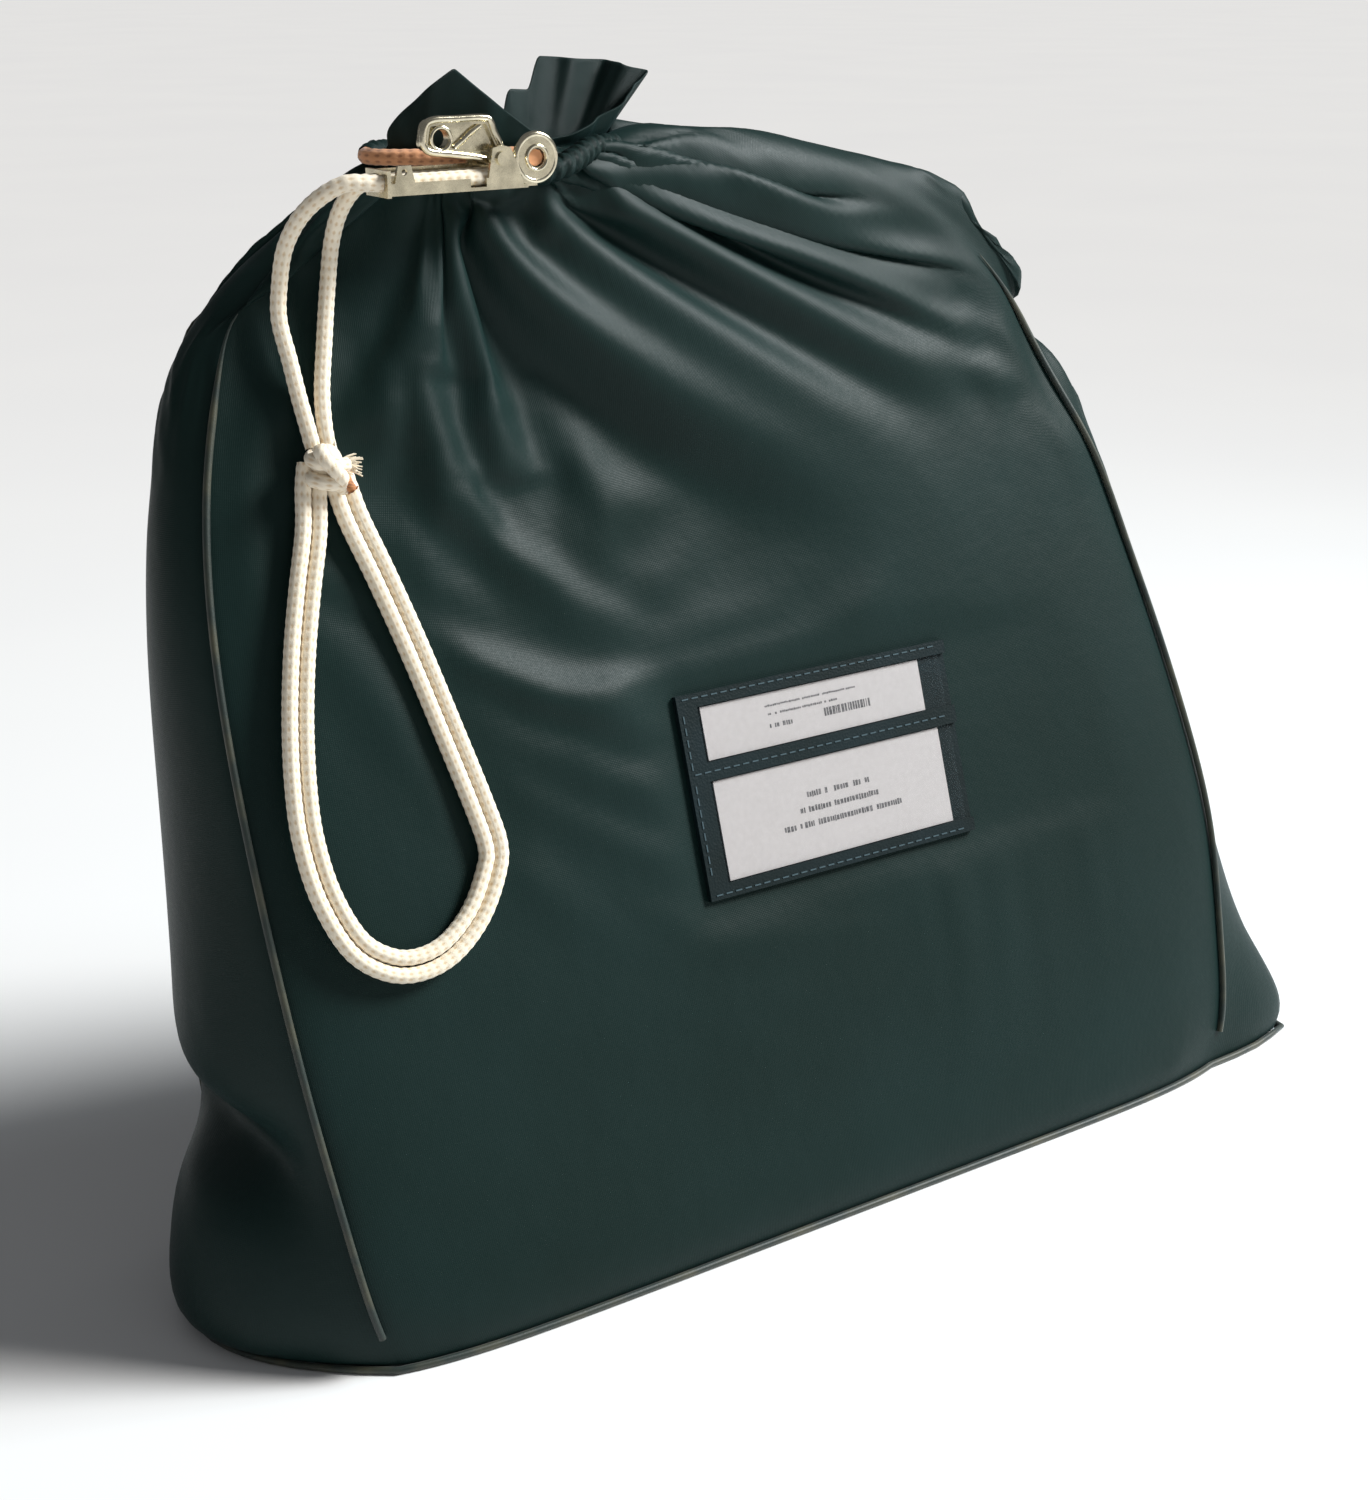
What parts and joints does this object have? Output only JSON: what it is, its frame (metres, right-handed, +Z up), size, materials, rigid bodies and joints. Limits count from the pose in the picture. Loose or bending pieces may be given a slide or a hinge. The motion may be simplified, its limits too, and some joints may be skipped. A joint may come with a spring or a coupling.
{
  "type": "cash deposit bag",
  "caption": "Gusseted nylon drawcord sack, filled and standing, with a cam cord lock on its drawn neck, a knotted carrying loop and a two-window label holder.",
  "frame": {"origin": "middle of the footprint, on the surface the bag stands on", "axes": "+X to the right along the front face, -Y out of the front face at the base, +Z up"},
  "size_m": [0.58, 0.1659, 0.4832],
  "materials": {
    "nylon": "coated plain-weave nylon, low sheen",
    "piping": "bound seam piping",
    "vinyl": "embossed vinyl",
    "thread": "polyester thread",
    "clear_film": "clear flexible film",
    "card_stock": "uncoated card",
    "nickel_plate": "worn bright plate with a warm tint",
    "braid": "braided cord",
    "shaded_braid": "braided cord",
    "sealed_braid": "heat-sealed cord end"
  },
  "bodies": {
    "bag": {"front_panel": "nylon", "back_panel": "nylon", "left_gusset": "nylon", "right_gusset": "nylon", "bottom_panel": "nylon", "drawcord_casing": "nylon", "mouth_frill": "nylon", "front_left_welt": "piping", "front_right_welt": "piping", "back_left_welt": "piping", "back_right_welt": "piping", "base_welt": "piping", "label_backing": "vinyl", "label_binding": "vinyl", "label_stitching": "thread", "upper_window": "clear_film", "lower_window": "clear_film", "lock_tray": "nickel_plate", "end_ferrule": "nickel_plate", "noose_eye": "nickel_plate", "anchor_rivet": "nickel_plate", "lever_pin": "nickel_plate", "tray_cord_front": "braid", "tray_cord_rear": "braid", "neck_cord": "shaded_braid", "left_strand": "braid", "right_strand": "braid", "carry_knot": "braid", "outer_loop": "braid", "inner_loop": "braid", "frayed_end": "braid", "sealed_end": "sealed_braid"},
    "lever": {"cam_lever": "nickel_plate"},
    "upper_insert": {"upper_card": "card_stock"},
    "lower_insert": {"lower_card": "card_stock"}
  },
  "joints": [
    {"name": "lever_pivot", "type": "hinge", "parent": "bag", "child": "lever", "pos_m": [-0.118, 0.024, 0.45145], "axis": [0, 1, 0], "range_deg": [0, 65]},
    {"name": "upper_card_slide", "type": "slide", "parent": "bag", "child": "upper_insert", "axis": [1, 0, 0], "range_m": [0, 0.13]},
    {"name": "lower_card_slide", "type": "slide", "parent": "bag", "child": "lower_insert", "axis": [1, 0, 0], "range_m": [0, 0.135]}
  ]
}
